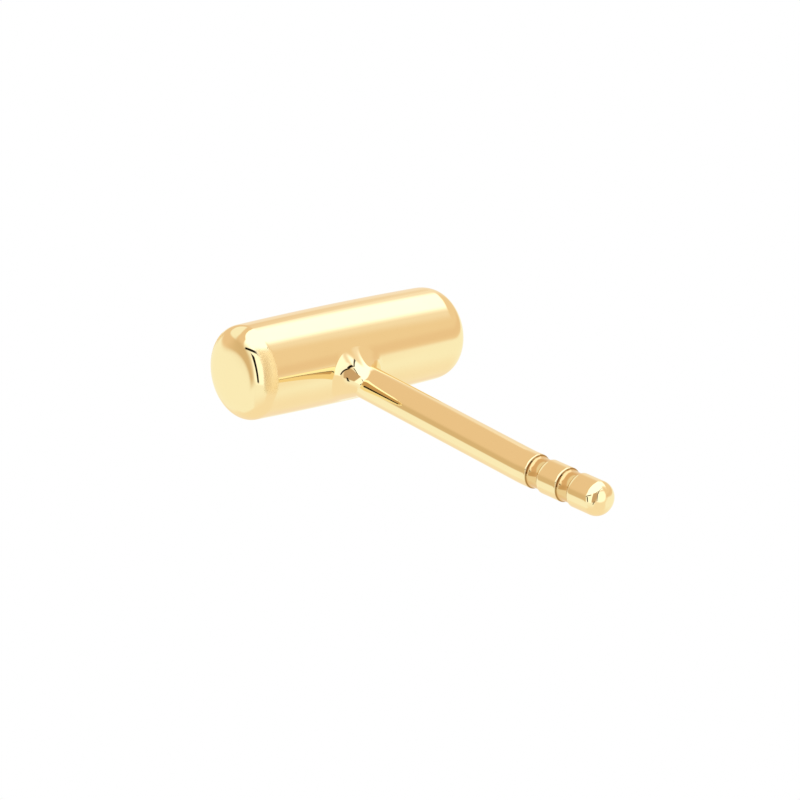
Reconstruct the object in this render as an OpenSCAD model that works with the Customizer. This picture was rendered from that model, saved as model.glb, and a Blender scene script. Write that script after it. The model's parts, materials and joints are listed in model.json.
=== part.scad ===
// Bar stud earring: a short polished round bar with an ear post soldered to its back.
// Units are millimetres, +Z is up. The stud lies as it does when it is put down: the bar
// along X on its curved side, and the post towards -Y with the end of its tip on the surface.

/* [Bar] */
// Length of the bar, over its crowned ends
bar_length = 7.3; // [4:0.1:20]
// Diameter of the bar at its middle
bar_d = 2.57; // [2.2:0.01:5]
// Radius of the rounded edge at each end of the bar
bar_edge_r = 0.48; // [0.2:0.02:0.7]
// How much the polished bar narrows from its middle to each end, on the radius
bar_taper = 0.05; // [0.02:0.01:0.12]
// How far each end face bulges
end_crown = 0.05; // [0.02:0.01:0.15]

/* [Ear post] */
// Diameter of the post wire
post_d = 0.9; // [0.7:0.01:1.1]
// Length of the wire that stands out of the bar's back
post_length = 9.15; // [6:0.05:14]
// How far the post stands beside the middle of the bar, along it
post_offset = 0.4; // [0:0.05:1.2]
// How far the post's centre line lies below the bar's
post_drop = 0.18; // [0:0.02:0.3]
// Small lift of the grooved tip, in degrees, where the wire has been bent
tip_bend = 3.5; // [0.5:0.5:6]
// Radius of that bend, on the wire's centre line
bend_r = 5; // [2:0.5:12]
// Length of the grooved tip past the bend
tip_length = 2.65; // [2.6:0.05:3.2]
// Diameter of the flat in the middle of the rounded end
tip_flat_d = 0.14; // [0.06:0.02:0.4]

/* [Grooves for the ear nut] */
// Distance from the end of the post to the middle of the nearest groove
groove_from_end = 1.19; // [0.9:0.01:1.3]
// Distance between the middles of the two grooves
groove_pitch = 1.06; // [0.7:0.01:1.2]
// Width of a groove at the surface of the wire
groove_w = 0.44; // [0.2:0.02:0.5]
// Depth of a groove
groove_depth = 0.05; // [0.02:0.01:0.1]

/* [Solder] */
// How far the solder climbs up the post
solder_climb = 0.35; // [0.15:0.05:0.6]
// How far the solder spreads round the post on the bar
solder_spread = 0.3; // [0.15:0.05:0.4]

/* [Hidden] */

// Segments round a small circle, and round the long shallow arcs of the bar
$fn = 96;
long_arc_fn = 1440;
groove_count = 2;

bar_r = bar_d / 2;
half_length = bar_length / 2;
post_r = post_d / 2;
tip_flat_r = tip_flat_d / 2;
tip_round_r = post_r - tip_flat_r;

// Radius of the circle whose arc rises by rise over half a chord
function arc_radius(half_chord, rise) = (pow(half_chord, 2) + pow(rise, 2)) / (2 * rise);

// The upper point where two circles in the (radius, along the bar) plane cross
function circles_meet(c1, r1, c2, r2) =
    let (d = norm(c2 - c1),
         along = (c2 - c1) / d,
         a = (pow(r1, 2) - pow(r2, 2) + pow(d, 2)) / (2 * d),
         across = [along[1], -along[0]] * sqrt(pow(r1, 2) - pow(a, 2)))
    c1 + a * along + (across[0] > 0 ? across : -across);

// Long arc of the bar's side, arc of its end face, and the round edge between them. The edge
// is wider than a touching circle by edge_lap, so that it crosses both arcs cleanly.
edge_lap = 0.002;
side_r = arc_radius(half_length, bar_taper);
side_centre = [bar_r - side_r, 0];
face_r = arc_radius(bar_r, end_crown);
face_centre = [0, half_length - face_r];
edge_centre = circles_meet(side_centre, side_r - bar_edge_r, face_centre, face_r - bar_edge_r);

// Height of the bar's back over its centre line, where a line at this distance meets it
function back_at(offset) = sqrt(pow(bar_r, 2) - pow(offset, 2));

// Solder: its foot is sunk where it last touches the bar, on the side the post is nearer to
solder_sink = 0.03;
solder_foot_r = min(post_r + solder_spread, 0.9 * bar_r - post_drop);
solder_foot = back_at(post_drop + solder_foot_r) - solder_sink;
solder_top = back_at(post_drop) + solder_climb;

// Straight stretch of wire from the bar's centre line, the bend, and where the tip starts
bend_length = bend_r * tip_bend * PI / 180;
straight_length = bar_r + post_length - bend_length - tip_length;
tip_start = straight_length + bend_r * sin(tip_bend);
tip_lift = bend_r * (1 - cos(tip_bend));

// Resting: the ring that the round end turns about, as [out of the bar, up], and its low point
round_reach = tip_length - tip_round_r;
round_mid = [tip_start + round_reach * cos(tip_bend),
             tip_lift + round_reach * sin(tip_bend) - post_drop];
round_low = round_mid + tip_flat_r * [sin(tip_bend), -cos(tip_bend)];
rest_tilt = atan2(round_low[1], round_low[0]) + asin((bar_r - tip_round_r) / norm(round_low));
reach = round_mid[0] * cos(rest_tilt) + round_mid[1] * sin(rest_tilt)
    + tip_flat_r * abs(sin(rest_tilt - tip_bend)) + tip_round_r;

// Half section of the bar: radius to the right, length up
module bar_section() {
    intersection() {
        translate(side_centre) circle(r = side_r, $fn = long_arc_fn);
        translate(face_centre) circle(r = face_r, $fn = long_arc_fn);
        translate(-face_centre) circle(r = face_r, $fn = long_arc_fn);
        translate([0, -bar_length]) square([bar_d, 2 * bar_length]);
        union() {
            translate([0, -edge_centre[1]]) square([bar_d, 2 * edge_centre[1]]);
            translate([0, -bar_length]) square([edge_centre[0], 2 * bar_length]);
            for (end = [-1, 1])
                translate([edge_centre[0], end * edge_centre[1]])
                    circle(r = bar_edge_r + edge_lap);
        }
    }
}

module bar() {
    rotate([0, 90, 0]) rotate_extrude() bar_section();
}

// Half section of the tip: it starts at the bend and ends round
module tip_section() {
    groove_r = arc_radius(groove_w / 2, groove_depth);
    difference() {
        union() {
            square([post_r, tip_length - tip_round_r]);
            square([tip_flat_r, tip_length]);
            intersection() {
                translate([tip_flat_r, tip_length - tip_round_r]) circle(r = tip_round_r);
                square([post_r, tip_length]);
            }
        }
        for (i = [0 : groove_count - 1])
            translate([post_r + groove_r - groove_depth,
                       tip_length - groove_from_end - i * groove_pitch])
                circle(r = groove_r);
    }
}

// The wire, from the middle of the bar along +Z, with its tip bent towards +Y
module post() {
    cylinder(r = post_r, h = straight_length);
    translate([0, bend_r, straight_length])
        rotate([90, 0, -90])
        rotate_extrude(angle = tip_bend)
        translate([bend_r, 0])
        circle(r = post_r);
    translate([0, tip_lift, tip_start])
        rotate([-tip_bend, 0, 0])
        rotate_extrude()
        tip_section();
}

// Cone of solder round the foot of the post
module solder() {
    translate([0, 0, solder_foot])
        cylinder(r1 = solder_foot_r, r2 = post_r, h = solder_top - solder_foot);
    cylinder(r = post_r, h = solder_foot);
}

// The whole stud is one piece of metal once the post is soldered on
module bar_stud() {
    color("gold")
        translate([0, (reach - bar_r) / 2, bar_r])
        rotate([rest_tilt, 0, 0]) {
            bar();
            translate([-post_offset, 0, -post_drop]) rotate([90, 0, 0]) {
                post();
                solder();
            }
        }
}

bar_stud();
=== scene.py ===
"""A polished bar stud earring, lying on a pale floor as it was photographed.

The stud is modelled in millimetres in the bar's own frame: the bar along X, its middle at the
origin, and the ear post towards -Y. It is then laid down, in metres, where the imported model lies.
"""

import json
import logging
import math
from collections.abc import Callable
from dataclasses import dataclass
from enum import Enum

import bmesh
import bpy
from mathutils import Matrix, Vector

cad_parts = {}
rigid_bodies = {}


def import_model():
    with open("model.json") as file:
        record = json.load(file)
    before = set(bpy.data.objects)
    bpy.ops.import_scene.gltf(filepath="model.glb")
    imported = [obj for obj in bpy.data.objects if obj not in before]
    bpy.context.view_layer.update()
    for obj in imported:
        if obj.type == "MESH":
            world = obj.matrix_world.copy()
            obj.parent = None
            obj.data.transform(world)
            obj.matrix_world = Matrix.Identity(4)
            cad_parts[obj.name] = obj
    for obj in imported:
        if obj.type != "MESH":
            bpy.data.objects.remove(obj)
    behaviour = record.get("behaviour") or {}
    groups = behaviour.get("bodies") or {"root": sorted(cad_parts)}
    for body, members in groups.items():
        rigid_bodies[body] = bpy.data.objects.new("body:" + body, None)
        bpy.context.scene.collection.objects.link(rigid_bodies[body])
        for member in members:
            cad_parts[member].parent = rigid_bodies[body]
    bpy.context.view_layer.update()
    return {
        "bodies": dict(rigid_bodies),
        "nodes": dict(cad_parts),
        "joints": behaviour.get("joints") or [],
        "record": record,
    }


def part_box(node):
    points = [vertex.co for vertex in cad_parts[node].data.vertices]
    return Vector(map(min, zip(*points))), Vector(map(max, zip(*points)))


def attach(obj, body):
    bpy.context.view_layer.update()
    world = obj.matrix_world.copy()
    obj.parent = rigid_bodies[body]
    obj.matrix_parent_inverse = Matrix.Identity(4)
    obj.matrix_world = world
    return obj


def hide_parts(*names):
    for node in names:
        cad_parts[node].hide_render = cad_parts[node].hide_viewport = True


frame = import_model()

log = logging.getLogger("bar_stud")

Points = list[tuple[float, float]]
Colour = tuple[float, float, float, float]
Tree = bpy.types.NodeTree
Socket = bpy.types.NodeSocket

NODE = "bar_stud"
BODY = "root"
MM = 0.001
# Points nearer than these become one: within a turned piece, and where pieces meet.
MERGE_MM = 1e-5
WELD_MM = 1e-4
WHITE = "#FFFFFF"


def linear(hex_colour: str) -> tuple[float, float, float]:
    """Turns an sRGB hex colour into linear light.

    Args:
        hex_colour: six hex digits after a hash sign.

    Returns:
        Red, green and blue from 0 to 1, linear.
    """
    channels = (int(hex_colour[i:i + 2], 16) / 255 for i in (1, 3, 5))
    return tuple(c / 12.92 if c <= 0.04045 else ((c + 0.055) / 1.055) ** 2.4 for c in channels)


def rgba(hex_colour: str) -> Colour:
    """Gives an sRGB hex colour as an opaque linear colour for a socket."""
    return (*linear(hex_colour), 1.0)


def add_node(tree: Tree, kind: str, sockets: dict | None = None,
             **settings: object) -> bpy.types.Node:
    """Adds one node with its settings, its socket values and its links.

    Args:
        tree: the node tree of a material or of the world.
        kind: the node's type name.
        sockets: input names or numbers, each with a value or with the output that feeds it.
        settings: properties of the node itself.

    Returns:
        The new node.
    """
    node = tree.nodes.new(kind)
    for name, value in settings.items():
        setattr(node, name, value)
    for name, value in (sockets or {}).items():
        if isinstance(value, bpy.types.NodeSocket):
            tree.links.new(value, node.inputs[name])
        else:
            node.inputs[name].default_value = value
    return node


def blend(start: float, end: float, share: float) -> float:
    """Gives the value a share of the way from start to end."""
    return start + (end - start) * share


def ease(share: float) -> float:
    """Gives a share from 0 to 1 that starts and stops gently."""
    return share * share * (3 - 2 * share)


def steps(count: int) -> list[float]:
    """Gives the shares from 0 to 1 that cut a stretch into count equal steps, both ends included."""
    return [i / count for i in range(count + 1)]


def start_edit(piece: bpy.types.Object) -> None:
    """Selects one piece alone and opens its mesh for editing, with nothing in it selected.

    Args:
        piece: the piece to edit.
    """
    if bpy.context.object and bpy.context.object.mode != "OBJECT":
        bpy.ops.object.mode_set(mode="OBJECT")
    bpy.ops.object.select_all(action="DESELECT")
    piece.select_set(True)
    bpy.context.view_layer.objects.active = piece
    bpy.ops.object.mode_set(mode="EDIT")
    bpy.ops.mesh.select_all(action="DESELECT")


def turned(name: str, profile: Points, along: Vector, outward: Vector, origin: Vector,
           count: int) -> bpy.types.Object:
    """Turns a profile on a lathe: a chain of edges is extruded point by point and spun.

    Args:
        name: the new object's name.
        profile: points as (distance along the axis, radius), in millimetres.
        along: unit vector of the axis.
        outward: unit vector across the axis, in whose direction the profile is drawn.
        origin: the point on the axis from which distances are measured.
        count: the number of steps in the turn.

    Returns:
        The turned piece, its poles closed where the profile reaches the axis.
    """
    points = [origin + along * distance + outward * radius for distance, radius in profile]
    bpy.ops.object.select_all(action="DESELECT")
    bpy.ops.mesh.primitive_plane_add(size=1)
    piece = bpy.context.object
    piece.name = name
    start_edit(piece)
    bpy.ops.mesh.select_mode(type="VERT")
    bpy.ops.mesh.select_all(action="SELECT")
    bpy.ops.mesh.merge(type="CENTER")
    bpy.ops.transform.translate(value=points[0])
    for here, there in zip(points, points[1:]):
        bpy.ops.mesh.extrude_region_move(TRANSFORM_OT_translate={"value": there - here})
    bpy.ops.mesh.select_all(action="SELECT")
    bpy.ops.mesh.spin(steps=count, angle=math.tau, center=origin, axis=along)
    bpy.ops.mesh.select_all(action="SELECT")
    bpy.ops.mesh.remove_doubles(threshold=MERGE_MM)
    bpy.ops.object.mode_set(mode="OBJECT")
    return piece


def joined(pieces: list[bpy.types.Object], name: str) -> bpy.types.Object:
    """Joins pieces into the first one, and names it.

    Args:
        pieces: the pieces to join.
        name: the joined piece's name.

    Returns:
        The joined piece.
    """
    bpy.ops.object.select_all(action="DESELECT")
    for piece in pieces:
        piece.select_set(True)
    bpy.context.view_layer.objects.active = pieces[0]
    bpy.ops.object.join()
    pieces[0].name = name
    return pieces[0]


def settle(piece: bpy.types.Object) -> None:
    """Applies a piece's location, turn and scale to its mesh.

    Args:
        piece: the piece to settle.
    """
    bpy.ops.object.select_all(action="DESELECT")
    piece.select_set(True)
    bpy.context.view_layer.objects.active = piece
    bpy.ops.object.transform_apply(location=True, rotation=True, scale=True)


@dataclass(frozen=True)
class Edge:
    """The soft edge of one end of the bar, which bends slowly out of the face and into the side.

    Along and out are its reach over the side and over the face, in millimetres, and a higher
    power makes it squarer.
    """

    along: float
    out: float
    power: float

    def cut(self, lean: float) -> tuple[float, float]:
        """Gives how much is taken off the corner, along the bar and towards its axis.

        Args:
            lean: 0 where the edge leaves the face, up to a right angle where it meets the side.

        Returns:
            The cut along the bar and the cut towards the axis.
        """
        power = 2 / self.power
        return self.along * (1 - math.cos(lean) ** power), self.out * (1 - math.sin(lean) ** power)


@dataclass(frozen=True)
class Bar:
    """The polished round bar, in millimetres, along X with its middle at the origin.

    Its side is one long shallow curve from end to end, its end faces are crowned, and soft
    edges join them without a break. Hand polishing has rounded the right one a little more.
    """

    length: float = 7.3
    radius: float = 1.285
    taper: float = 0.05
    crown: float = 0.05
    left_edge: Edge = Edge(along=0.42, out=0.69, power=2.35)
    right_edge: Edge = Edge(along=0.66, out=0.69, power=2.8)
    turn_steps: int = 180
    side_steps: int = 140
    edge_steps: int = 40
    face_steps: int = 14

    def radius_at(self, along: float) -> float:
        """Gives the side's radius at a distance from the middle."""
        return self.radius - self.taper * (2 * along / self.length) ** 2

    def face_at(self, radius: float) -> float:
        """Gives how far from the middle an end face stands at a distance from the axis."""
        return self.length / 2 - self.crown * (radius / self.radius) ** 2

    def end(self, edge: Edge) -> Points:
        """Draws one end, from the pole of its face to where its edge meets the side.

        Args:
            edge: the soft edge of that end.

        Returns:
            Points as (distance from the bar's middle, radius).
        """
        bend = []
        for share in steps(self.edge_steps):
            along_cut, inset = edge.cut(share * math.pi / 2)
            along = self.face_at(self.radius_at(self.length / 2 - along_cut) - inset) - along_cut
            bend.append((along, self.radius_at(along) - inset))
        rim = bend[0][1]
        face = [(self.face_at(rim * share), rim * share) for share in steps(self.face_steps)[:-1]]
        return face + bend

    def profile(self) -> Points:
        """Draws the half section from the right pole to the left pole.

        Returns:
            Points as (distance along the bar, radius).
        """
        right, left = self.end(self.right_edge), self.end(self.left_edge)
        start, stop = right[-1][0], -left[-1][0]
        reach = [blend(start, stop, share) for share in steps(self.side_steps)[1:-1]]
        side = [(along, self.radius_at(along)) for along in reach]
        return right + side + [(-along, radius) for along, radius in reversed(left)]

    def on_side(self, along: float, turn: float) -> Vector:
        """Gives a point on the side, turn being the angle from -Y towards +Z."""
        radius = self.radius_at(along)
        return Vector((along, -radius * math.cos(turn), radius * math.sin(turn)))

    def build(self) -> bpy.types.Object:
        """Turns the bar, one step of the turn facing the ear post."""
        along, outward = Vector((1, 0, 0)), Vector((0, -1, 0))
        return turned("bar", self.profile(), along, outward, Vector(), self.turn_steps)


@dataclass(frozen=True)
class EarPost:
    """The ear post: a straight wire, with a slightly bent tip that is grooved for an ear nut.

    Sizes are in millimetres. It stands offset to the left of the bar's middle and a drop below
    the bar's centre line.
    """

    radius: float = 0.45
    length: float = 9.15
    offset: float = 0.4
    drop: float = 0.18
    bend: float = math.radians(3.5)
    bend_r: float = 5.0
    bend_steps: int = 5
    tip_length: float = 2.65
    tip_flat_r: float = 0.07
    round_steps: int = 26
    groove_from_end: float = 1.19
    groove_pitch: float = 1.06
    groove_w: float = 0.44
    groove_depth: float = 0.05
    groove_wall_w: float = 0.08
    wall_steps: int = 8
    land_step: float = 0.06

    def straight_end(self, bar: Bar) -> float:
        """Gives the distance from the bar's axis at which the bend starts."""
        return bar.radius + self.length - self.bend_r * self.bend - self.tip_length

    def tip_place(self, bar: Bar) -> Vector:
        """Places the bent tip.

        Args:
            bar: the bar that the post stands on.

        Returns:
            The middle of the tip's first ring, in the bar's frame.
        """
        start = self.straight_end(bar) + self.bend_r * math.sin(self.bend)
        lift = self.bend_r * (1 - math.cos(self.bend))
        return Vector((-self.offset, -start, lift - self.drop))

    def groove_points(self, middle: float) -> Points:
        """Draws one groove: a short eased wall, a flat bottom and another wall.

        Args:
            middle: distance of the groove's middle along the tip.

        Returns:
            Points as (distance along the tip, radius).
        """
        half = self.groove_w / 2
        wall = [(half - self.groove_wall_w * share, self.radius - self.groove_depth * ease(share))
                for share in steps(self.wall_steps)]
        first = [(middle - distance, radius) for distance, radius in wall]
        last = [(middle + distance, radius) for distance, radius in reversed(wall)]
        return first + [(middle, self.radius - self.groove_depth)] + last

    def tip_profile(self) -> Points:
        """Draws the half section of the tip, from the bend to the pole of its round end.

        Returns:
            Points as (distance along the tip, radius).
        """
        round_r = self.radius - self.tip_flat_r
        shoulder = self.tip_length - round_r
        near = self.tip_length - self.groove_from_end
        drawn = [(0.0, self.radius)]
        for middle in (near - self.groove_pitch, near):
            groove = self.groove_points(middle)
            drawn += self.land(drawn[-1][0], groove[0][0]) + groove
        drawn += self.land(drawn[-1][0], shoulder)
        for share in steps(self.round_steps):
            lean = share * math.pi / 2
            along = shoulder + round_r * math.sin(lean)
            drawn.append((along, self.tip_flat_r + round_r * math.cos(lean)))
        return drawn + [(self.tip_length, 0.0)]

    def land(self, start: float, end: float) -> Points:
        """Gives evenly spaced points between two distances, both left out, at the wire's radius."""
        count = max(1, round((end - start) / self.land_step))
        return [(blend(start, end, share), self.radius) for share in steps(count)[1:-1]]

    def build(self, bar: Bar, foot: float, count: int) -> bpy.types.Object:
        """Turns the straight wire and the tip, leans the tip, and bridges the bend between them.

        Args:
            bar: the bar that the post stands on.
            foot: distance from the bar's axis at which the bare wire starts.
            count: the number of steps in the turn.

        Returns:
            The post, open at its foot.
        """
        down, across = Vector((0, -1, 0)), Vector((1, 0, 0))
        end = self.straight_end(bar)
        wire = [(foot, self.radius)] + self.wire(foot, end) + [(end, self.radius)]
        axis = Vector((-self.offset, 0, -self.drop))
        shank = turned("wire", wire, down, across, axis, count)
        tip = turned("tip", self.tip_profile(), down, across, Vector(), count)
        tip.rotation_euler = (-self.bend, 0, 0)
        tip.location = self.tip_place(bar)
        settle(tip)
        post = joined([shank, tip], "post")
        start_edit(post)
        select_open_edges(post, lambda middle: middle.y < -foot - self.radius)
        bpy.ops.mesh.bridge_edge_loops(number_cuts=self.bend_steps, interpolation="SURFACE")
        bpy.ops.object.mode_set(mode="OBJECT")
        return post

    def wire(self, start: float, end: float) -> Points:
        """Gives the rings along the straight wire, about a radius apart."""
        count = max(2, round((end - start) / self.radius))
        return [(blend(start, end, share), self.radius) for share in steps(count)[1:-1]]


def select_open_edges(piece: bpy.types.Object, wanted: Callable[[Vector], bool]) -> None:
    """Selects, in edge mode, the open edges whose middle passes a test.

    Args:
        piece: the piece that is being edited.
        wanted: takes the middle of an edge and says whether to select it.
    """
    bpy.ops.mesh.select_mode(type="EDGE")
    bpy.ops.mesh.select_all(action="DESELECT")
    mesh = bmesh.from_edit_mesh(piece.data)
    for edge in mesh.edges:
        edge.select = edge.is_boundary and wanted((edge.verts[0].co + edge.verts[1].co) / 2)
    mesh.select_flush_mode()
    bmesh.update_edit_mesh(piece.data)


@dataclass(frozen=True)
class Solder:
    """The small concave fillet of solder that runs from the bar's back up the foot of the post.

    It has flowed a little further on one side of the post, where the flame came from. Spread is
    its reach over the bar and climb its reach up the post, in millimetres, and the apron is a
    margin of the bar's own surface round it.
    """

    spread: float = 0.34
    climb: float = 0.33
    extra_spread: float = 0.18
    extra_climb: float = 0.26
    flow_side: float = math.radians(150)
    power: float = 1.35
    fillet_steps: int = 28
    apron_steps: int = 6
    apron: float = 0.1
    bare_wire: float = 0.12

    def foot(self, bar: Bar) -> float:
        """Gives the distance from the bar's axis at which the bare wire starts."""
        return bar.radius + self.climb + self.extra_climb + self.bare_wire

    def window(self, bar: Bar, post: EarPost) -> tuple[float, float, float, float]:
        """Sizes the window that is cut in the bar's mesh round the solder.

        Args:
            bar: the bar.
            post: the post.

        Returns:
            Its lowest and highest distance along the bar, and lowest and highest turn.
        """
        reach = post.radius + self.spread + self.extra_spread
        ends = [-post.offset + side * reach + side * self.apron for side in (-1, 1)]
        turns = [math.asin((side * reach - post.drop) / bar.radius) + side * self.apron
                 for side in (-1, 1)]
        return (*ends, *turns)

    def fillet_point(self, bar: Bar, post: EarPost, angle: float, share: float) -> Vector:
        """Places a point of the fillet.

        Args:
            bar: the bar.
            post: the post.
            angle: direction round the post, from +X towards +Z.
            share: 0 on the post's wall and 1 on the bar's back.

        Returns:
            The point in the bar's frame.
        """
        lean, power = share * math.pi / 2, 2 / self.power
        flow = max(math.cos(angle - self.flow_side), 0.0) ** 2
        spread, climb = self.spread + self.extra_spread * flow, self.climb + self.extra_climb * flow
        from_axis = post.radius + spread * (1 - math.cos(lean) ** power)
        over_bar = climb * (1 - math.sin(lean) ** power)
        along = -post.offset + from_axis * math.cos(angle)
        level = -post.drop + from_axis * math.sin(angle)
        radius = bar.radius_at(along) + over_bar
        return Vector((along, -math.sqrt(radius ** 2 - level ** 2), level))

    def apron_point(self, bar: Bar, inner: Vector, outer: Vector, share: float) -> Vector:
        """Places a point on the bar's back, a share of the way from inner to outer."""
        turn = [math.atan2(point.z, -point.y) for point in (inner, outer)]
        return bar.on_side(blend(inner.x, outer.x, share), blend(*turn, share))


@dataclass(frozen=True)
class Stud:
    """The whole stud: bar, post and solder as one closed piece of metal."""

    bar: Bar = Bar()
    post: EarPost = EarPost()
    solder: Solder = Solder()

    def open_window(self, piece: bpy.types.Object) -> int:
        """Deletes the bar's faces under the solder.

        Args:
            piece: the turned bar.

        Returns:
            The number of edges round the window.
        """
        left, right, low, high = self.solder.window(self.bar, self.post)
        start_edit(piece)
        bpy.ops.mesh.select_mode(type="FACE")
        mesh = bmesh.from_edit_mesh(piece.data)
        for face in mesh.faces:
            middle = face.calc_center_median()
            turn = math.atan2(middle.z, -middle.y)
            face.select = left < middle.x < right and low < turn < high
        bmesh.update_edit_mesh(piece.data)
        bpy.ops.mesh.delete(type="FACE")
        count = sum(edge.is_boundary for edge in bmesh.from_edit_mesh(piece.data).edges)
        bpy.ops.object.mode_set(mode="OBJECT")
        return count

    def ring_of(self, mesh: bmesh.types.BMesh, low: float, high: float) -> list[bmesh.types.BMVert]:
        """Lists the open vertices that stand in a range of distances from the bar's axis.

        Args:
            mesh: the mesh that is being edited.
            low: the range's start.
            high: the range's end.

        Returns:
            The vertices, in order round the post.
        """
        found = {vert for edge in mesh.edges if edge.is_boundary for vert in edge.verts
                 if low < -vert.co.y < high}
        return sorted(found, key=self.angle_of)

    def angle_of(self, vert: bmesh.types.BMVert) -> float:
        """Gives a vertex's direction round the post, from +X towards +Z."""
        return math.atan2(vert.co.z + self.post.drop, vert.co.x + self.post.offset)

    def flow_solder(self, piece: bpy.types.Object) -> None:
        """Extrudes the post's open ring, ring by ring, down the fillet and out to the window.

        Args:
            piece: the bar and the post, joined and still open.
        """
        start_edit(piece)
        foot = self.solder.foot(self.bar)
        mesh = bmesh.from_edit_mesh(piece.data)
        rim = [v.co.copy() for v in self.ring_of(mesh, 0.0, foot - self.solder.bare_wire / 2)]
        open_foot = self.ring_of(mesh, foot - WELD_MM, foot + WELD_MM)
        ring, angles = [v.index for v in open_foot], [self.angle_of(v) for v in open_foot]
        rings = [[self.solder.fillet_point(self.bar, self.post, angle, share) for angle in angles]
                 for share in steps(self.solder.fillet_steps)]
        base = rings[-1]
        rings += [[self.solder.apron_point(self.bar, inner, outer, share)
                   for inner, outer in zip(base, rim)]
                  for share in steps(self.solder.apron_steps)[1:]]
        for places in rings:
            ring = extrude_ring(piece, ring, places)
        bpy.ops.mesh.select_all(action="SELECT")
        bpy.ops.mesh.remove_doubles(threshold=WELD_MM)
        bpy.ops.mesh.select_all(action="SELECT")
        bpy.ops.mesh.normals_make_consistent(inside=False)
        bpy.ops.object.mode_set(mode="OBJECT")

    def build(self, rest: "Rest") -> bpy.types.Object:
        """Models the stud and lays it down.

        Args:
            rest: how the stud lies on its surface.

        Returns:
            The finished piece, in metres, its object at the origin.
        """
        bar = self.bar.build()
        count = self.open_window(bar)
        post = self.post.build(self.bar, self.solder.foot(self.bar), count)
        stud = joined([bar, post], "stud_metal")
        self.flow_solder(stud)
        stud.scale = (MM, MM, MM)
        stud.rotation_euler = (rest.lean, 0, 0)
        stud.location = rest.bar_axis
        settle(stud)
        bpy.ops.object.shade_smooth()
        return stud

    def dress(self, piece: bpy.types.Object, rest: "Rest") -> None:
        """Gives the finished piece its one finish.

        Args:
            piece: the finished piece.
            rest: how it lies on its surface.
        """
        tip = TipAxis.of_post(self.post, self.bar, rest)
        piece.data.materials.clear()
        piece.data.materials.append(GoldPlate().material(tip))


def extrude_ring(piece: bpy.types.Object, ring: list[int], places: list[Vector]) -> list[int]:
    """Extrudes a closed ring of edges and moves each new vertex to its place.

    Args:
        piece: the piece that is being edited.
        ring: indices of the ring's vertices, in order.
        places: where the new vertices go, in the same order.

    Returns:
        Indices of the new ring's vertices, in the same order.
    """
    bpy.ops.mesh.select_mode(type="EDGE")
    bpy.ops.mesh.select_all(action="DESELECT")
    mesh = bmesh.from_edit_mesh(piece.data)
    mesh.verts.ensure_lookup_table()
    members = set(ring)
    for index in ring:
        for edge in mesh.verts[index].link_edges:
            if edge.is_boundary and edge.other_vert(mesh.verts[index]).index in members:
                edge.select = True
    bmesh.update_edit_mesh(piece.data)
    bpy.ops.mesh.extrude_region_move()
    mesh = bmesh.from_edit_mesh(piece.data)
    mesh.verts.index_update()
    mesh.verts.ensure_lookup_table()
    grown = []
    for index, place in zip(ring, places):
        old = mesh.verts[index]
        new = next(edge.other_vert(old) for edge in old.link_edges if edge.other_vert(old).select)
        new.co = place
        grown.append(new.index)
    bmesh.update_edit_mesh(piece.data)
    return grown


@dataclass(frozen=True)
class Rest:
    """How the stud lies: the bar on its round side and the tip of the post on its round end."""

    lean: float
    bar_axis: Vector

    @classmethod
    def of_frame(cls, packed: dict, bar: Bar) -> "Rest":
        """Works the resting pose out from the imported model.

        Args:
            bar: the bar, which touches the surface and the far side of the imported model's box.

        Returns:
            The post's lean in radians, and the bar's middle in metres.
        """
        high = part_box(NODE)[1]
        pin = next(mount for mount in packed["record"]["mounts"] if mount["name"] == "ear_post")
        return cls(math.asin(-pin["axis"][2]), Vector((0, high.y - bar.radius * MM, bar.radius * MM)))


@dataclass(frozen=True)
class TipAxis:
    """Where the grooved tip of the laid-down post lies, in metres."""

    start: Vector
    direction: Vector
    radius: float
    bottom_r: float
    grooves_middle: float
    grooves_reach: float

    @classmethod
    def of_post(cls, post: EarPost, bar: Bar, rest: Rest) -> "TipAxis":
        """Works out where the tip lies from the post's own sizes and from how the stud rests.

        Args:
            post: the ear post.
            bar: the bar that it stands on.
            rest: how the stud lies on its surface.

        Returns:
            The tip's place, and where along it the grooves are.
        """
        laid = Matrix.Rotation(rest.lean, 3, "X")
        start = laid @ (post.tip_place(bar) * MM) + rest.bar_axis
        direction = laid @ Matrix.Rotation(-post.bend, 3, "X") @ Vector((0, -1, 0))
        middle = post.tip_length - post.groove_from_end - post.groove_pitch / 2
        reach = post.groove_pitch / 2 + post.groove_w
        bottom_r = post.radius - post.groove_depth
        return cls(start, direction, post.radius * MM, bottom_r * MM, middle * MM, reach * MM)


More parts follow.
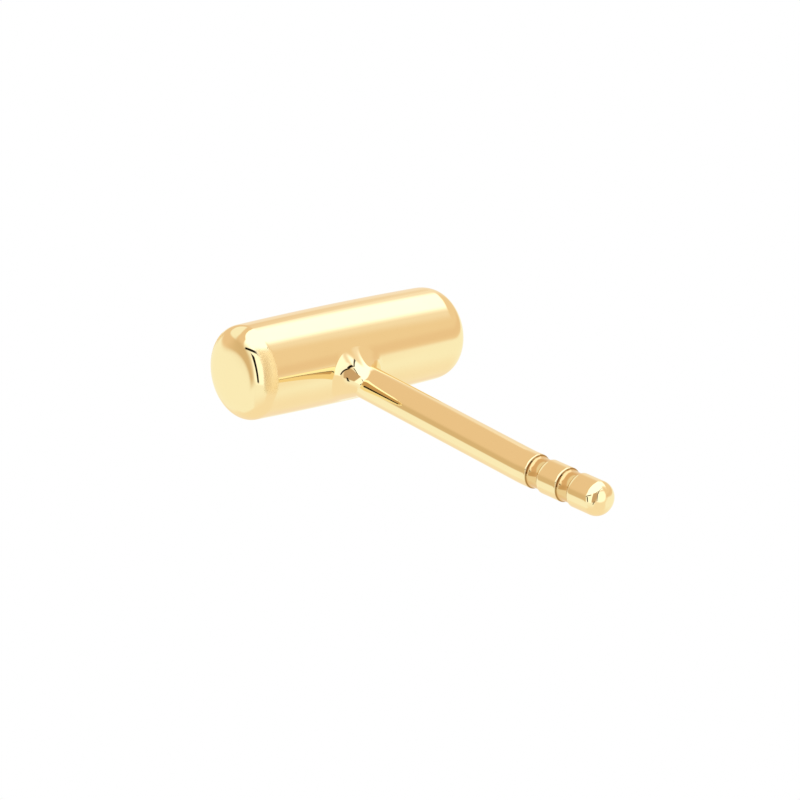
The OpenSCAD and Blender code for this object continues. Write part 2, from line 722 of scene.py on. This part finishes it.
@dataclass(frozen=True)
class GoldPlate:
    """Pale yellow gold plated on polished silver: a clean mirror with the faintest haze.

    The plating is a metal, so all its colour is in its reflections. Hand polishing on a felt
    wheel leaves a soft unevenness and hairlines much finer than a pixel. In the grooves the
    colour is darkened as painted shade, a little on their bottoms and most on their walls.
    One spot on the bar's left shoulder, where it was held to be soldered, is duller and blurs
    what it reflects. Its marks are where it starts, is full, starts to fade and has ended, along
    X and above the floor. The groove levels are shares of a groove's depth, from its bottom, at
    which the painted shade's tones stand.
    """

    colour: str = "#FDEFC6"
    worn_colour: str = "#FBEDC2"
    roughness: float = 0.03
    roughness_spread: float = 0.01
    haze_mm: float = 0.8
    haze_detail: float = 3.0
    dull_roughness: float = 0.55
    dull_along_mm: tuple[float, ...] = (-3.54, -3.46, -3.26, -3.14)
    dull_height_mm: tuple[float, ...] = (1.0, 1.25, 2.08, 2.25)
    dull_tone: str = "#FFF8E8"
    hairline_mm: float = 0.05
    hairline_detail: float = 2.0
    hairline_depth_mm: float = 0.0002
    hairline_strength: float = 0.3
    # Painted shade in the grooves: the multiplier on their bottoms, and the darker one on their walls.
    groove_painted_shade: str = "#EDDCC6"
    wall_painted_shade: str = "#B0956F"
    groove_levels: tuple[float, ...] = (0.0, 0.25, 0.45, 0.8, 1.0)

    def painted_groove_shade(self, tree: Tree, place: Socket, tip: TipAxis) -> Socket:
        """Adds the painted shade that darkens the plating in the grooves, most on their walls.

        Args:
            tree: the material's node tree.
            place: the position on the stud.
            tip: where the grooved tip lies.

        Returns:
            The painted shade, a colour to multiply the plating's colour with.
        """
        offset = add_node(tree, "ShaderNodeVectorMath", {
            0: place, 1: tip.start}, operation="SUBTRACT").outputs["Vector"]
        across = add_node(tree, "ShaderNodeVectorMath", {
            0: offset, 1: tip.direction}, operation="CROSS_PRODUCT").outputs["Vector"]
        away = add_node(tree, "ShaderNodeVectorMath", {0: across}, operation="LENGTH")
        along = add_node(tree, "ShaderNodeVectorMath", {
            0: offset, 1: tip.direction}, operation="DOT_PRODUCT")
        grooved = add_node(tree, "ShaderNodeMath", {
            0: along.outputs["Value"],
            1: tip.grooves_middle,
            2: tip.grooves_reach,
        }, operation="COMPARE")
        depth = add_node(tree, "ShaderNodeMapRange", {
            "Value": away.outputs["Value"], "From Min": tip.bottom_r, "From Max": tip.radius})
        ramp = add_node(tree, "ShaderNodeValToRGB", {"Fac": depth.outputs["Result"]})
        stops = ramp.color_ramp.elements
        # Painted shade up the groove: lighter on the bottom, darkest on the walls, none on the land.
        painted_shades = (self.groove_painted_shade, self.groove_painted_shade, self.wall_painted_shade, self.wall_painted_shade, WHITE)
        for _ in painted_shades[len(stops):]:
            stops.new(0.5)
        for stop, level, colour in zip(stops, self.groove_levels, painted_shades):
            stop.position, stop.color = level, rgba(colour)
        return add_node(tree, "ShaderNodeMix", {
            "Factor": grooved.outputs[0], "A": rgba(WHITE), "B": ramp.outputs["Color"]},
            data_type="RGBA").outputs["Result"]

    def band(self, tree: Tree, value: Socket, marks_mm: tuple[float, ...]) -> Socket:
        """Adds a mask that is 1 within a range of places and fades softly to 0 outside it.

        Args:
            tree: the material's node tree.
            value: the place along one axis.
            marks_mm: where the mask starts to rise, is full, starts to fall and has ended.

        Returns:
            The mask's socket.
        """
        rise, fall = (add_node(tree, "ShaderNodeMapRange", {
            "Value": value, "From Min": low * MM, "From Max": high * MM},
            interpolation_type="SMOOTHSTEP").outputs["Result"]
            for low, high in (marks_mm[:2], marks_mm[2:]))
        return add_node(tree, "ShaderNodeMath", {0: rise, 1: fall}, operation="SUBTRACT").outputs[0]

    def dull(self, tree: Tree, place: Socket) -> Socket:
        """Adds the mask of the duller spot on the bar's shoulder.

        Args:
            tree: the material's node tree.
            place: the position on the stud.

        Returns:
            The mask's socket.
        """
        axes = add_node(tree, "ShaderNodeSeparateXYZ", {"Vector": place}).outputs
        return add_node(tree, "ShaderNodeMath", {
            0: self.band(tree, axes["X"], self.dull_along_mm),
            1: self.band(tree, axes["Z"], self.dull_height_mm)}, operation="MULTIPLY").outputs[0]

    def material(self, tip: TipAxis) -> bpy.types.Material:
        """Builds the plating's node material.

        Args:
            tip: where the grooved tip lies.

        Returns:
            The material.
        """
        # Polished plating on silver: sharp warm reflections under the faintest haze.
        made = bpy.data.materials.new("polished_gold_plate")
        made.use_nodes = True
        tree = made.node_tree
        tree.nodes.clear()
        place = add_node(tree, "ShaderNodeTexCoord").outputs["Object"]
        haze = add_node(tree, "ShaderNodeTexNoise", {
            "Vector": place, "Scale": 1 / (self.haze_mm * MM), "Detail": self.haze_detail})
        rough = add_node(tree, "ShaderNodeMapRange", {
            "Value": haze.outputs["Fac"],
            "To Min": self.roughness - self.roughness_spread,
            "To Max": self.roughness + self.roughness_spread,
        })
        dull = self.dull(tree, place)
        worn = add_node(tree, "ShaderNodeMix", {
            "Factor": dull, "A": rough.outputs["Result"], "B": self.dull_roughness})
        tint = add_node(tree, "ShaderNodeMix", {
            "Factor": haze.outputs["Fac"],
            "A": rgba(self.colour),
            "B": rgba(self.worn_colour),
        }, data_type="RGBA")
        lines = add_node(tree, "ShaderNodeTexNoise", {
            "Vector": place, "Scale": 1 / (self.hairline_mm * MM), "Detail": self.hairline_detail})
        bump = add_node(tree, "ShaderNodeBump", {
            "Height": lines.outputs["Fac"],
            "Distance": self.hairline_depth_mm * MM,
            "Strength": self.hairline_strength,
        })
        # Painted shade in the grooves, multiplied into the plating's colour.
        groove_shaded = add_node(tree, "ShaderNodeMix", {
            "Factor": 1.0, "A": tint.outputs["Result"], "B": self.painted_groove_shade(tree, place, tip)},
            data_type="RGBA", blend_type="MULTIPLY")
        spotted = add_node(tree, "ShaderNodeMix", {
            "Factor": dull, "A": groove_shaded.outputs["Result"], "B": rgba(self.dull_tone)},
            data_type="RGBA", blend_type="MULTIPLY")
        shader = add_node(tree, "ShaderNodeBsdfPrincipled", {
            "Base Color": spotted.outputs["Result"],
            "Metallic": 1.0,
            "Roughness": worn.outputs["Result"],
            "Normal": bump.outputs["Normal"],
        })
        add_node(tree, "ShaderNodeOutputMaterial", {"Surface": shader.outputs["BSDF"]})
        return made


class Cloth(Enum):
    """The cloths of the light tent, each as an sRGB hex colour and a brightness.

    The backdrop is what the camera itself sees behind the stud.
    """

    ROOF = (WHITE, 1.4)
    CREAM = ("#FEFBEA", 1.0)
    PANE = ("#FFFDF4", 1.2)
    COOL = ("#FFFCF6", 1.15)
    PEACH = ("#F9E9D4", 1.0)
    SAND = ("#F2D9B8", 1.0)
    TAN = ("#EDD0AE", 1.0)
    SHADE = ("#DABE97", 1.0)
    UMBER = ("#CBAB89", 1.0)
    GROUND = ("#FAEACF", 1.0)
    SEAM = ("#050302", 1.0)
    BACKDROP = (WHITE, 1.0)


@dataclass(frozen=True)
class Panel:
    """One panel of the light tent, as it is seen from the stud.

    Corners are (bearing, height) in degrees, clockwise as the stud sees them: bearing 0 is +Y
    and 90 is +X, and height is above the horizon. Softness is the width of its edge, in degrees.
    """

    name: str
    cloth: Cloth
    corners: tuple[tuple[float, float], ...]
    softness: float

    @staticmethod
    def direction(bearing: float, height: float) -> Vector:
        """Gives the direction of a corner.

        Args:
            bearing: degrees from +Y towards +X.
            height: degrees above the horizon.

        Returns:
            The unit vector.
        """
        turn, rise = math.radians(bearing), math.radians(height)
        level = math.cos(rise)
        return Vector((math.sin(turn) * level, math.cos(turn) * level, math.sin(rise)))

    def mask(self, tree: Tree, look: Socket) -> Socket:
        """Adds nodes that give 1 inside the panel and 0 outside it.

        Args:
            tree: the world's node tree.
            look: the direction that is looked in.

        Returns:
            The mask's socket.
        """
        points = [self.direction(*corner) for corner in self.corners]
        half = math.radians(self.softness) / 2
        mask = None
        for here, there in zip(points, points[1:] + points[:1]):
            inward = here.cross(there).normalized()
            side = add_node(tree, "ShaderNodeVectorMath", {0: look, 1: inward},
                            operation="DOT_PRODUCT", label=self.name)
            edge = add_node(tree, "ShaderNodeMapRange", {
                "Value": side.outputs["Value"], "From Min": -half, "From Max": half},
                interpolation_type="SMOOTHSTEP").outputs["Result"]
            mask = edge if mask is None else add_node(
                tree, "ShaderNodeMath", {0: mask, 1: edge}, operation="MULTIPLY").outputs[0]
        return mask


# Each panel hangs in front of the ones before it. The seams are the dark gaps between them.
PANELS = (
    Panel("back_floor", Cloth.PEACH, ((0, -60), (4, -30), (70, -32), (74, -60)), 12.0),
    Panel("front_floor", Cloth.GROUND, ((138, -50), (140, 0), (180, 4), (-138, 0),
                                        (-122, -50)), 12.0),
    Panel("front_wall", Cloth.PEACH, ((138, -4), (138, 48), (180, 60), (-136, 48), (-130, -4)), 12.0),
    Panel("front_pane", Cloth.COOL, ((-176, -10), (-176, 54), (-160, 48), (-150, 36),
                                     (-148, -10)), 5.0),
    Panel("right_fade", Cloth.PEACH, ((104, -2), (104, 62), (140, 62), (152, 40), (152, -2)), 14.0),
    Panel("right_wall", Cloth.SAND, ((122, -2), (122, 56), (140, 56), (152, 36), (152, -2)), 12.0),
    Panel("right_end", Cloth.SAND, ((50, 3), (50, 20), (62, 34), (78, 41), (92, 43.2), (108, 41),
                                    (122, 33), (134, 18), (136, -2)), 6.0),
    Panel("right_shade", Cloth.TAN, ((84, 4), (84, 16), (148, 14), (152, -1)), 12.0),
    Panel("back_wall", Cloth.TAN, ((-55, -18.5), (-55, 30), (-43, 43), (-26, 54), (0, 58), (26, 54),
                                   (41, 43), (48, 28), (48, 10)), 4.0),
    Panel("back_corner", Cloth.PEACH, ((44, 8), (43, 34), (50, 38), (58, 30), (58, 8)), 16.0),
    Panel("back_edge", Cloth.PEACH, ((35, -14), (35, 14), (52, 14), (52, -14)), 8.0),
    Panel("back_pane", Cloth.CREAM, ((-41, 10), (-35, 32), (-22, 43), (0, 48), (22, 43), (32, 34),
                                     (20, 26), (-14, 16)), 5.0),
    Panel("front_glow", Cloth.PANE, ((152, -12), (152, 40), (180, 50), (-162, 40), (-162, -12)), 9.0),
    Panel("left_wall", Cloth.UMBER, ((-136, -14), (-152, 30), (-152, 46), (-109, 42),
                                     (-109, -14)), 4.0),
    Panel("left_pane", Cloth.PANE, ((-110, -17), (-110, 37), (-96, 32), (-70, 14), (-64, -17)), 4.0),
    Panel("left_shade", Cloth.SHADE, ((-66, -40), (-64, 4), (-56, 10), (-40, 16), (-40, -40)), 18.0),
    Panel("left_floor", Cloth.CREAM, ((-72, -50), (-72, -18.5), (-30, -18.5), (-30, -50)), 8.0),
    Panel("slope_floor", Cloth.CREAM, ((-60, -40), (-53, -18), (-24, -3), (0, 5), (0, -40)), 8.0),
    Panel("seam_roof", Cloth.SEAM, ((-97, 26), (-98, 33), (-78, 23.5), (-58, 10), (-56.5, 4),
                                    (-76, 16)), 2.0),
    Panel("seam_post", Cloth.SEAM, ((-85, -17), (-77, 10), (-68, 9), (-77, -17)), 2.5),
    Panel("seam_left", Cloth.SEAM, ((-124, -27), (-132, -6), (-128, -6), (-118, -27)), 2.0),
    Panel("seam_frame", Cloth.SEAM, ((-150, -4), (-152, 38), (-148, 38), (-146, -4)), 1.5),
    Panel("seam_hoop", Cloth.SEAM, ((-154, 37), (-174, 57), (-170, 60), (-149, 39)), 1.5),
    Panel("seam_top", Cloth.SEAM, ((133, 58), (133, 60), (-170, 61), (-170, 59)), 1.5),
    Panel("seam_side", Cloth.SEAM, ((-158, 54), (-158, 57), (-126, 46), (-126, 43)), 1.5),
)


@dataclass(frozen=True)
class LightTent:
    """Soft studio light: a white tent with warm walls round the stud.

    Each band is the pair of heights, in degrees, between which one cloth turns into the next.
    """

    panels: tuple[Panel, ...] = PANELS
    ground_band: tuple[float, float] = (-65, -25)
    roof_band: tuple[float, float] = (10, 26)

    def colour(self, cloth: Cloth) -> Colour:
        """Gives a cloth's light as a linear colour."""
        hex_colour, brightness = cloth.value
        return (*(channel * brightness for channel in linear(hex_colour)), 1.0)

    def lay(self, tree: Tree, behind: Colour | Socket, cloth: Cloth, where: Socket) -> Socket:
        """Lays a cloth over what is behind it, where a mask is 1."""
        return add_node(tree, "ShaderNodeMix", {
            "Factor": where, "A": behind, "B": self.colour(cloth)}, data_type="RGBA").outputs["Result"]

    def above(self, tree: Tree, height: Socket, band: tuple[float, float]) -> Socket:
        """Adds a mask that is 0 below a band of heights and 1 above it.

        Args:
            tree: the world's node tree.
            height: the sine of the height that is looked at.
            band: the band's lower and upper height in degrees.

        Returns:
            The mask's socket.
        """
        low, high = (math.sin(math.radians(angle)) for angle in band)
        return add_node(tree, "ShaderNodeMapRange", {
            "Value": height, "From Min": low, "From Max": high},
            interpolation_type="SMOOTHSTEP").outputs["Result"]

    def build(self) -> None:
        """Makes the world that lights the stud."""
        world = bpy.data.worlds.new("light_tent")
        bpy.context.scene.world = world
        world.use_nodes = True
        tree = world.node_tree
        tree.nodes.clear()
        look = add_node(tree, "ShaderNodeTexCoord").outputs["Generated"]
        height = add_node(tree, "ShaderNodeSeparateXYZ", {"Vector": look}).outputs["Z"]
        ground = self.colour(Cloth.GROUND)
        shade = self.lay(tree, ground, Cloth.CREAM, self.above(tree, height, self.ground_band))
        shade = self.lay(tree, shade, Cloth.ROOF, self.above(tree, height, self.roof_band))
        for panel in self.panels:
            shade = self.lay(tree, shade, panel.cloth, panel.mask(tree, look))
        seen = add_node(tree, "ShaderNodeLightPath").outputs["Is Camera Ray"]
        shade = self.lay(tree, shade, Cloth.BACKDROP, seen)
        light = add_node(tree, "ShaderNodeBackground", {"Color": shade})
        add_node(tree, "ShaderNodeOutputWorld", {"Surface": light.outputs["Background"]})


@dataclass(frozen=True)
class Floor:
    """A light table: white acrylic, lit from below so evenly that nothing casts a shadow on it.

    The radius is in metres, so that its rim is out of view from every side.
    """

    radius: float = 3.0
    sides: int = 96
    colour: str = WHITE

    def material(self) -> bpy.types.Material:
        """Builds the acrylic's node material, which is all glow.

        Returns:
            The material.
        """
        # Opal acrylic lit from behind: an even white glow with no gloss and no shade.
        made = bpy.data.materials.new("lit_white_acrylic")
        made.use_nodes = True
        tree = made.node_tree
        tree.nodes.clear()
        glow = add_node(tree, "ShaderNodeEmission", {"Color": rgba(self.colour)})
        add_node(tree, "ShaderNodeOutputMaterial", {"Surface": glow.outputs["Emission"]})
        return made

    def build(self) -> bpy.types.Object:
        """Lays the floor at the height on which the stud rests.

        Returns:
            The floor, which the stud doesn't mirror: the tent gives it all its reflections.
        """
        bpy.ops.object.select_all(action="DESELECT")
        bpy.ops.mesh.primitive_circle_add(vertices=self.sides, radius=self.radius, fill_type="NGON")
        floor = bpy.context.object
        floor.name = "floor"
        floor.data.materials.append(self.material())
        floor.visible_glossy = False
        return floor


@dataclass(frozen=True)
class Viewpoint:
    """Where the photographer stood: looking down over the post at the back of the bar.

    Angles are in degrees, the lens is in millimetres, and what is past far, in metres, isn't seen.
    """

    target_mm: tuple[float, float, float] = (0.9576, 3.1294, 0.1992)
    distance_mm: float = 96.410
    azimuth: float = -43.788
    elevation: float = 18.690
    roll: float = -3.994
    lens: float = 165.089
    far: float = 10.0

    def build(self) -> bpy.types.Object:
        """Makes the camera and sets it as the scene's.

        Returns:
            The camera.
        """
        turn, rise, roll = (math.radians(a) for a in (self.azimuth, self.elevation, self.roll))
        away = math.cos(rise)
        back = Vector((math.sin(turn) * away, -math.cos(turn) * away, math.sin(rise)))
        level = (-back).cross(Vector((0, 0, 1))).normalized()
        upright = level.cross(-back)
        up = upright * math.cos(roll) + level * math.sin(roll)
        right = (-back).cross(up)
        data = bpy.data.cameras.new("camera")
        data.lens = self.lens
        data.clip_start = MM
        data.clip_end = self.far
        camera = bpy.data.objects.new("camera", data)
        bpy.context.scene.collection.objects.link(camera)
        stand = (Vector(self.target_mm) + back * self.distance_mm) * MM
        facing = Matrix((right, up, back)).transposed().to_4x4()
        camera.matrix_world = Matrix.Translation(stand) @ facing
        bpy.context.scene.camera = camera
        return camera


def main() -> None:
    """Builds the view, the stage and the stud in order, and reports each."""
    logging.basicConfig(level=logging.INFO, format="%(message)s")
    bpy.context.scene.view_settings.view_transform = "Standard"
    camera = Viewpoint().build()
    log.info("camera: %.0f mm lens", camera.data.lens)
    tent = LightTent()
    tent.build()
    log.info("light tent: %d panels", len(tent.panels))
    floor = Floor().build()
    log.info("floor: %.0f m across", floor.dimensions.x)
    design = Stud()
    rest = Rest.of_frame(frame, design.bar)
    stud = design.build(rest)
    design.dress(stud, rest)
    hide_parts(NODE)
    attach(stud, BODY)
    log.info("stud: %d vertices, %d faces", len(stud.data.vertices), len(stud.data.polygons))


if __name__ == "__main__":
    main()
